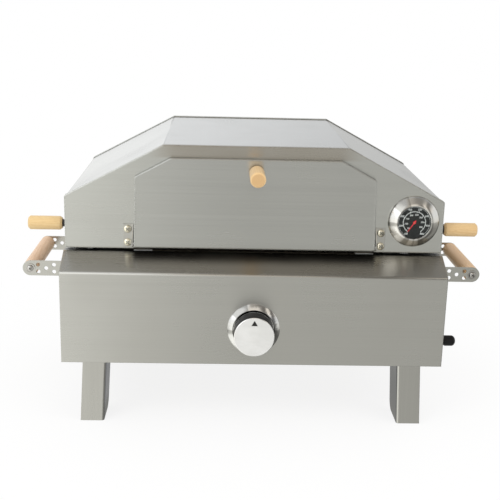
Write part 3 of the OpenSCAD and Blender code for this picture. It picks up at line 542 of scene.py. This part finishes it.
BRASS = plain_metal("machined_brass", (0.80, 0.58, 0.26), rough=0.24, worn=0.5, scale=2.0)
TUBE = plain_metal("drawn_tube", (0.72, 0.72, 0.73), rough=0.28, scale=2.0)
CAP = knob_cap("chrome_knob_cap")
KNOB_BEZEL = turned_metal("chrome_knob_bezel", (0.0, KNOB_Z * MM), (0.72, 0.72, 0.71),
                          rough=0.13, aniso=0.35, groove=2200.0)
GAUGE_AXIS = (GAUGE_X * MM, GAUGE_Z * MM)
GAUGE_BEZEL = turned_metal("turned_bezel", GAUGE_AXIS, (0.80, 0.79, 0.76),
                           rough=0.17, aniso=0.55, groove=2600.0)
GAUGE_CASE = turned_metal("turned_case", GAUGE_AXIS, (0.66, 0.66, 0.65),
                          rough=0.24, aniso=0.3, groove=1800.0)
BLACK = plastic("black_plastic")
WIRE = plastic("silicone_jacket", (0.030, 0.029, 0.028), rough=0.55)
DIAL = paint("dial_black_print", (0.005, 0.006, 0.006), rough=0.50)
NEEDLE = paint("needle_red_paint", (0.86, 0.020, 0.035), rough=0.35, glow=0.16)
MARKS = paint("dial_white_print", (0.92, 0.92, 0.90), rough=0.45, glow=0.10)
INK = paint("black_inlay", (0.006, 0.006, 0.006), rough=0.38)
STONE = pizza_stone("cordierite_stone")
CERAMIC = glazed_ceramic("glazed_alumina")
LENS = clear_lens("clear_lens")

BY_SLOT = {
    "brushed_steel": STEEL_X, "zinc_steel": ZINC, "heat_steel": HEAT, "dark_steel": DARK,
    "fastener_steel": FASTENER, "chrome": GAUGE_BEZEL, "black_plastic": BLACK,
    "dial_black": DIAL, "needle_red": NEEDLE, "clear_glass": LENS, "brass": BRASS,
    "tube_aluminium": TUBE, "ceramic": CERAMIC, "wire_jacket": WIRE, "stone": STONE,
}
# Parts whose material differs from their slot's.
BY_PART = {
    "hood_wrapper": STEEL_Y, "base_side_left": STEEL_Y, "base_side_right": STEEL_Y,
    "base_front_panel": STEEL_BASE, "hood_front_frame": STEEL_FRAME,
    "door_panel": STEEL_DOOR, "leg_left": STEEL_Z, "leg_right": STEEL_Z,
    "carry_bracket_left": STEEL_BRACKET, "carry_bracket_right": STEEL_BRACKET,
    "door_hinge_left": STEEL_BRACKET, "door_hinge_right": STEEL_BRACKET,
    "control_knob_cap": CAP, "knob_bezel": KNOB_BEZEL,
    "thermometer_bezel": GAUGE_BEZEL, "thermometer_case": GAUGE_CASE,
    "carry_grip_bolts": BOLT, "base_rivets": BOLT, "hinge_rivets_hood": BOLT,
    "carry_bracket_rivets": BOLT,
    "hinge_leaf_base": HINGE, "hinge_leaf_hood": HINGE, "hinge_pin": HINGE,
}
# Part, long axis, colour tint, seed that shifts the grain. Tints vary by part; the carry grips'
# pinker, darker tints also paint the shade they sit in.
WOODEN_PARTS = (
    ("hood_handle_left", "X", (1.04, 1.05, 0.94), 0.31),
    ("hood_handle_right", "X", (0.93, 0.90, 0.80), 0.77),
    ("carry_grip_left", "Y", (1.0, 0.91, 0.98), 0.12),
    ("carry_grip_right", "Y", (0.94, 0.84, 0.78), 0.55),
    ("door_knob", "Y", (1.02, 0.98, 0.88), 0.93),
)
for part, axis, tint, seed in WOODEN_PARTS:
    centre = tuple((a + b) / 2 for a, b in zip(*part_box(part)))
    BY_PART[part] = beech("beech_" + part, axis, centre, tint, seed)


def slot_of(part):
    """The record's material slot; its parts may be a table by name or a list of rows."""
    if isinstance(subparts, dict):
        row = subparts.get(part)
    else:
        rows = [r for r in subparts if part in (r.get("node"), r.get("name"))]
        row = rows[-1] if rows else None
    if isinstance(row, dict):
        return row.get("material_slot") or row.get("slot") or row.get("material")
    return row


# ------------------------------------------------------------ shading and edges
# Bevel width in mm and segments; None leaves the edges sharp.
DEFAULT_BEVEL = (0.26, 2)
BEVELS = {
    "pizza_stone": (1.2, 3), "hood_handle_left": (0.9, 3), "hood_handle_right": (0.9, 3),
    "door_knob": (0.9, 3), "carry_grip_left": (0.5, 3), "carry_grip_right": (0.5, 3),
    "igniter_barrel": (0.5, 2), "control_knob": (0.4, 2), "thermometer_lens": None,
    "thermometer_dial": None, "gas_orifice": None, "thermometer_needle": (0.05, 1),
    "knob_bezel": (0.15, 2), "thermometer_bezel": (0.2, 2), "control_knob_cap": (0.15, 2),
    "gas_inlet_fitting": (0.3, 2), "thermometer_nut": (0.2, 2),
}
SHEET_AREA = 0.0012  # square metres; a flat this large marks a sheet part
COPLANAR = math.cos(math.radians(0.6))
ROUNDED = math.cos(math.radians(26))
ROUNDED_SHARE = 0.55  # share of a flat's border that must turn gently to shade smooth


def joined_faces(mesh):
    """(face, face, edge length) for each edge shared by two faces, corners matched by place."""
    seen = {}
    corner = [seen.setdefault(tuple(round(c * 1e5) for c in v.co), len(seen))
              for v in mesh.vertices]
    edges = {}
    for face in mesh.polygons:
        ring = list(face.vertices)
        for a, b in zip(ring, ring[1:] + ring[:1]):
            key = tuple(sorted((corner[a], corner[b])))
            length = (mesh.vertices[a].co - mesh.vertices[b].co).length
            edges.setdefault(key, []).append((face.index, length))
    return [(use[0][0], use[1][0], use[0][1]) for use in edges.values() if len(use) == 2]


def shade_faces(mesh):
    """Smooth rounded faces and leave sheet flats flat; True if any flat is sheet sized."""
    pairs = joined_faces(mesh)
    normals = [face.normal.copy() for face in mesh.polygons]
    root = list(range(len(mesh.polygons)))

    def find(face):
        while root[face] != face:
            root[face] = root[root[face]]
            face = root[face]
        return face

    for a, b, _ in pairs:
        if normals[a].dot(normals[b]) > COPLANAR:
            root[find(a)] = find(b)
    border, gentle, size = {}, {}, {}
    for a, b, length in pairs:
        flats = find(a), find(b)
        if flats[0] != flats[1]:
            soft = normals[a].dot(normals[b]) > ROUNDED
            for flat in flats:
                border[flat] = border.get(flat, 0.0) + length
                gentle[flat] = gentle.get(flat, 0.0) + (length if soft else 0.0)
    for face in mesh.polygons:
        flat = find(face.index)
        size[flat] = size.get(flat, 0.0) + face.area

    def is_smooth(flat):
        return (size[flat] < SHEET_AREA
                and gentle.get(flat, 0.0) > ROUNDED_SHARE * border.get(flat, 1.0))

    mesh.polygons.foreach_set("use_smooth", [is_smooth(find(i)) for i in range(len(root))])
    mesh.update()
    return max(size.values()) > SHEET_AREA


def dress_part(part, obj):
    """Give a part its material, shading and softened edges."""
    obj.data.materials.clear()
    obj.data.materials.append(BY_PART.get(part) or BY_SLOT.get(slot_of(part)) or ZINC)
    for face in obj.data.polygons:
        face.material_index = 0
    weld = obj.modifiers.new("weld", "WELD")
    weld.merge_threshold = 0.00002
    is_sheet = shade_faces(obj.data)
    if is_sheet:  # one face for each flat, so the bevel follows real edges only
        flats = obj.modifiers.new("flats", "DECIMATE")
        flats.decimate_type = "DISSOLVE"
        flats.angle_limit = math.radians(0.8)
    size = BEVELS.get(part, DEFAULT_BEVEL)
    if size:
        bevel = obj.modifiers.new("edges", "BEVEL")
        bevel.width = size[0] * MM
        bevel.segments = size[1]
        bevel.limit_method = "ANGLE"
        bevel.angle_limit = math.radians(38)
        bevel.use_clamp_overlap = True
        bevel.miter_outer = "MITER_ARC"
        bevel.harden_normals = False
    if not is_sheet:  # turned and small parts
        normals = obj.modifiers.new("normals", "WEIGHTED_NORMAL")
        normals.mode = "FACE_AREA"
        normals.weight = 60
        normals.keep_sharp = True


for part, obj in nodes.items():
    dress_part(part, obj)


# ------------------------------------------------------- printed and inlaid marks
def mesh_object(name, solid, material, body):
    mesh = bpy.data.meshes.new(name)
    bmesh.ops.recalc_face_normals(solid, faces=solid.faces)
    solid.to_mesh(mesh)
    solid.free()
    mesh.materials.append(material)
    obj = bpy.data.objects.new(name, mesh)
    scene.collection.objects.link(obj)
    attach(obj, body)
    return obj


def add_ring(solid, outline, y):
    """Vertices for an outline of (x, z) points at one Y, all in mm."""
    return [solid.verts.new((x * MM, y * MM, z * MM)) for x, z in outline]


def add_walls(solid, front, back):
    count = len(front)
    for i in range(count):
        j = (i + 1) % count
        solid.faces.new((front[i], back[i], back[j], front[j]))


def add_prism(solid, outline, y_front, y_back):
    front = add_ring(solid, outline, y_front)
    back = add_ring(solid, outline, y_back)
    solid.faces.new(front)
    solid.faces.new(list(reversed(back)))
    add_walls(solid, front, back)


# The dial: angles run clockwise from straight up, as seen from the front.
PRINT_FRONT = HOOD_FRONT - 7.46
PRINT_BACK = HOOD_FRONT - 7.39  # just inside the dial plate
START_ANGLE, END_ANGLE = -146.0, 144.0  # degrees, at 100 F and 800 F
BAND_STEP = 3.0  # degrees
CELSIUS = range(50, 450, 50)


def fahrenheit_angle(temperature):
    return math.radians(START_ANGLE + (END_ANGLE - START_ANGLE) * (temperature - 100) / 700)


def celsius_angle(temperature):
    return fahrenheit_angle(temperature * 1.8 + 32)


def add_dial_band(solid, inner, outer):
    """Closed ring segment between two radii, over the whole scale."""
    steps = int((END_ANGLE - START_ANGLE) / BAND_STEP)
    angles = [math.radians(START_ANGLE + (END_ANGLE - START_ANGLE) * i / steps)
              for i in range(steps + 1)]
    outline = [(GAUGE_X + radius * math.sin(a), GAUGE_Z + radius * math.cos(a))
               for radius, run in ((outer, angles), (inner, angles[::-1])) for a in run]
    front = add_ring(solid, outline, PRINT_FRONT)
    back = add_ring(solid, outline, PRINT_BACK)
    for i in range(steps):
        j = len(outline) - 1 - i
        solid.faces.new((front[i], front[i + 1], front[j - 1], front[j]))
        solid.faces.new((back[j], back[j - 1], back[i + 1], back[i]))
    add_walls(solid, front, back)


def add_tick(solid, angle, inner, outer, half_width):
    sin, cos = math.sin(angle), math.cos(angle)
    corners = ((inner, -half_width), (outer, -half_width), (outer, half_width),
               (inner, half_width))
    outline = [(GAUGE_X + radius * sin + side * cos, GAUGE_Z + radius * cos - side * sin)
               for radius, side in corners]
    add_prism(solid, outline, PRINT_FRONT, PRINT_BACK)


def add_number(solid, text, x, z, size):
    """Figures as thin closed solids, centred on (x, z) mm."""
    curve = bpy.data.curves.new("n", "FONT")
    curve.body = text
    curve.size = size * MM
    curve.align_x = "CENTER"
    curve.align_y = "CENTER"
    curve.extrude = 0.00004
    curve.offset = 0.00005
    curve.resolution_u = 3
    writing = bpy.data.objects.new("n", curve)
    scene.collection.objects.link(writing)
    bpy.context.view_layer.update()
    evaluated = writing.evaluated_get(bpy.context.evaluated_depsgraph_get())
    mesh = bpy.data.meshes.new_from_object(evaluated)
    centre = Matrix.Translation((x * MM, (PRINT_FRONT + PRINT_BACK) / 2 * MM, z * MM))
    mesh.transform(centre @ Matrix.Rotation(math.radians(90), 4, "X"))
    solid.from_mesh(mesh)
    bpy.data.objects.remove(writing)
    bpy.data.curves.remove(curve)
    bpy.data.meshes.remove(mesh)


def build_dial_scale():
    """Two arcs, Fahrenheit ticks every 10 degrees and Celsius ticks inside them."""
    solid = bmesh.new()
    add_dial_band(solid, inner=14.7, outer=15.35)
    add_dial_band(solid, inner=21.0, outer=21.25)
    for i in range(71):
        if i % 10 == 0:
            outer, half_width = 16.9, 0.24
        elif i % 5 == 0:
            outer, half_width = 16.2, 0.16
        else:
            outer, half_width = 15.8, 0.10
        add_tick(solid, fahrenheit_angle(100 + 10 * i), 15.2, outer, half_width)
    for temperature in CELSIUS:
        add_tick(solid, celsius_angle(temperature), inner=13.5, outer=14.8, half_width=0.20)
    mesh_object("dial_scale", solid, MARKS, "hood")


def build_dial_numbers():
    solid = bmesh.new()
    for temperature in range(100, 900, 100):
        angle = fahrenheit_angle(temperature)
        add_number(solid, str(temperature), GAUGE_X + 18.9 * math.sin(angle),
                   GAUGE_Z + 18.9 * math.cos(angle), size=3.5)
    for temperature in CELSIUS:
        angle = celsius_angle(temperature)
        add_number(solid, str(temperature), GAUGE_X + 11.0 * math.sin(angle),
                   GAUGE_Z + 10.9 * math.cos(angle), size=3.1)
    bmesh.ops.remove_doubles(solid, verts=solid.verts, dist=1e-7)
    mesh_object("dial_numbers", solid, MARKS, "hood")


def build_pointer_hub():
    """Domed brass button over the pointer's root."""
    segments = 24
    tip_depth = -8.40  # Y from the hood's front
    profile = ((0.55, -8.35), (0.95, -8.15), (1.05, -7.85), (1.05, -7.55))  # radius, Y
    turns = [2 * math.pi * i / segments for i in range(segments)]
    solid = bmesh.new()
    rings = []
    for radius, depth in profile:
        circle = [(GAUGE_X + radius * math.sin(a), GAUGE_Z + radius * math.cos(a))
                  for a in turns]
        rings.append(add_ring(solid, circle, HOOD_FRONT + depth))
    tip = add_ring(solid, [(GAUGE_X, GAUGE_Z)], HOOD_FRONT + tip_depth)[0]
    for i in range(segments):
        solid.faces.new((tip, rings[0][i], rings[0][(i + 1) % segments]))
    for front, back in zip(rings, rings[1:]):
        add_walls(solid, front, back)
    solid.faces.new(list(reversed(rings[-1])))
    hub = mesh_object("pointer_hub", solid, BRASS, "needle")
    hub.data.shade_smooth()


def build_knob_mark():
    """Black triangle let into the knob's face, pointing up, with clipped corners."""
    clip = 0.35
    triangle = [(0.0, KNOB_Z + 22.9), (4.1, KNOB_Z + 15.8), (-4.1, KNOB_Z + 15.8)]
    outline = []
    for i, (x, z) in enumerate(triangle):
        for next_x, next_z in (triangle[i - 1], triangle[(i + 1) % 3]):
            run, rise = next_x - x, next_z - z
            length = math.hypot(run, rise)
            outline.append((x + run / length * clip, z + rise / length * clip))
    solid = bmesh.new()
    add_prism(solid, outline, KNOB_FACE - 0.06, KNOB_FACE + 0.12)
    mesh_object("knob_pointer_mark", solid, INK, "control_knob")


build_dial_scale()
build_dial_numbers()
build_pointer_hub()
build_knob_mark()


# --------------------------------------------------------------- floor and world
def floor_material():
    """Pale ground near the oven, fading to pure white further out."""
    graph, place = new_material("pale_floor")
    speck = graph.noise(place, scale=40.0, detail=3.0)
    ground = graph.output("ShaderNodeBsdfDiffuse",
                          Color=graph.mix((0.93, 0.93, 0.93), (0.95, 0.95, 0.95), speck))
    white = graph.output("ShaderNodeEmission", Color=(1.0, 1.0, 1.0), Strength=1.0)
    fade = place.length().ramp(0.20, 0.65, to=(0.84, 1.0))
    return graph.finish(graph.mix_shader(ground, white, fade))


def build_floor():
    solid = bmesh.new()
    bmesh.ops.create_circle(solid, cap_ends=True, segments=96, radius=9.0)
    mesh = bpy.data.meshes.new("studio_floor")
    solid.to_mesh(mesh)
    solid.free()
    mesh.materials.append(floor_material())
    floor = bpy.data.objects.new("studio_floor", mesh)
    floor.location = (0, 0, -0.0004)
    scene.collection.objects.link(floor)
    floor.visible_glossy = False


def front_brightness(graph, x, z):
    """What lies in front of the oven (-Y), by height of the direction."""
    # Below: the pale table, brighter to the left, with soft upright bands.
    table = x.ramp(-0.26, 0.02, to=(1.16, 0.60))
    table = table + x.ramp(-0.32, -0.55, to=(0.0, 0.06))
    table = table * x.ramp(0.28, 0.48, to=(1.0, 0.30))
    bands = graph.noise(graph.join(x * 9.0, 0.4, 2.0))
    table = table * bands.ramp(0.25, 0.75, to=(0.90, 1.10), kind="LINEAR")
    # Eye height and above: a window on the left, a dim wall with one bright strip on the right.
    room = x.ramp(-0.46, -0.22, to=(1.75, 0.90))
    room = room + x.ramp(0.20, 0.42, to=(0.0, -0.72))
    room = room + abs(x - 0.62).ramp(0.12, 0.02, to=(0.0, 0.9))
    # Overhead: the dark ceiling with one pale panel.
    ceiling = x.ramp(-0.26, -0.08, to=(0.95, 0.42)) * x.ramp(0.0, 0.3, to=(1.0, 0.6))
    panel = 0.45
    front = graph.mix_value(table, room, z.ramp(0.02, 0.22))
    front = graph.mix_value(front, ceiling, z.ramp(0.60, 0.80))
    return graph.mix_value(front, panel, z.ramp(0.965, 0.995))


def build_world():
    """A painted studio for reflections, soft ambient light, and white for the camera."""
    world = bpy.data.worlds.new("studio")
    scene.world = world
    graph = Graph(world)
    x, y, z = graph.coords("Generated").split()
    front = front_brightness(graph, x, z)
    backdrop = x.ramp(-0.30, 0.32, to=(1.06, 0.62))
    backdrop = backdrop * z.ramp(0.25, 0.95, to=(1.0, 0.55))
    backdrop = backdrop * z.ramp(-0.55, -0.05, to=(0.78, 1.0))
    brightness = graph.mix_value(front, backdrop, y.ramp(-0.22, 0.16))
    soft_box = graph.mix_value(1.10, 0.86, x.ramp(-0.1, 0.1))
    soft_box = soft_box * (z.ramp(-0.45, -0.1, to=(0.55, 1.0)) * z.ramp(0.35, 0.7, to=(1.0, 0.35)))
    brightness = graph.mix_value(brightness, soft_box, abs(x).ramp(0.80, 0.93))

    tone = graph.mix((1.0, 0.995, 0.945), (0.985, 0.995, 1.0), z.ramp(-0.2, 0.15))
    warm_part = y.ramp(0.0, -0.3) * (z.ramp(0.05, 0.4) * x.ramp(-0.35, -0.1))
    tone = graph.mix(tone, (1.0, 0.93, 0.83), warm_part)
    reflected = graph.output("ShaderNodeBackground", tone, brightness)
    ambient = graph.output("ShaderNodeBackground", (1.0, 0.99, 0.975),
                           z.ramp(-1.0, 1.0, to=(0.45, 1.02), kind="LINEAR"))
    white = graph.output("ShaderNodeBackground", (1.0, 1.0, 1.0))
    rays = graph.node("ShaderNodeLightPath").outputs
    seen = graph.mix_shader(ambient, reflected, Value(graph, rays["Is Glossy Ray"]))
    seen = graph.mix_shader(seen, white, Value(graph, rays["Is Camera Ray"]))
    graph.finish(seen, kind="ShaderNodeOutputWorld")


def add_light(name, location, size, power):
    """Disk light aimed at the oven, kept out of reflections."""
    target = Vector((0, 0, 0.2))
    light = bpy.data.lights.new(name, "AREA")
    light.shape = "DISK"
    light.size = size
    light.energy = power
    lamp = bpy.data.objects.new(name, light)
    lamp.location = location
    lamp.rotation_euler = (target - Vector(location)).to_track_quat("-Z", "Y").to_euler()
    lamp.visible_glossy = False
    scene.collection.objects.link(lamp)


def build_camera():
    """Camera in front of the oven, looking back and down, with a slight roll."""
    place = Vector((-50.344, HOOD_FRONT - 1241.141, 573.256)) * MM
    yaw, pitch, roll = (math.radians(v) for v in (2.04949, 15.23011, 1.48103))
    forward = Vector((math.sin(yaw) * math.cos(pitch), math.cos(yaw) * math.cos(pitch),
                      -math.sin(pitch)))
    level = Vector((math.cos(yaw), -math.sin(yaw), 0.0))
    upright = level.cross(forward)
    right = level * math.cos(roll) + upright * math.sin(roll)
    up = -level * math.sin(roll) + upright * math.cos(roll)
    data = bpy.data.cameras.new("camera")
    data.sensor_width = 36.0
    data.lens = 68.3379792
    data.clip_start = 0.01
    data.clip_end = 100.0
    camera = bpy.data.objects.new("camera", data)
    turn = Matrix((right, up, -forward)).transposed().to_4x4()
    camera.matrix_world = Matrix.Translation(place) @ turn
    scene.collection.objects.link(camera)
    scene.camera = camera


build_floor()
build_world()
add_light("key", (-1.3, -1.5, 1.9), size=1.3, power=16.0)
add_light("fill", (1.5, -1.1, 1.2), size=1.5, power=6.0)
build_camera()
scene.view_settings.view_transform = "Standard"
scene.view_settings.look = "None"
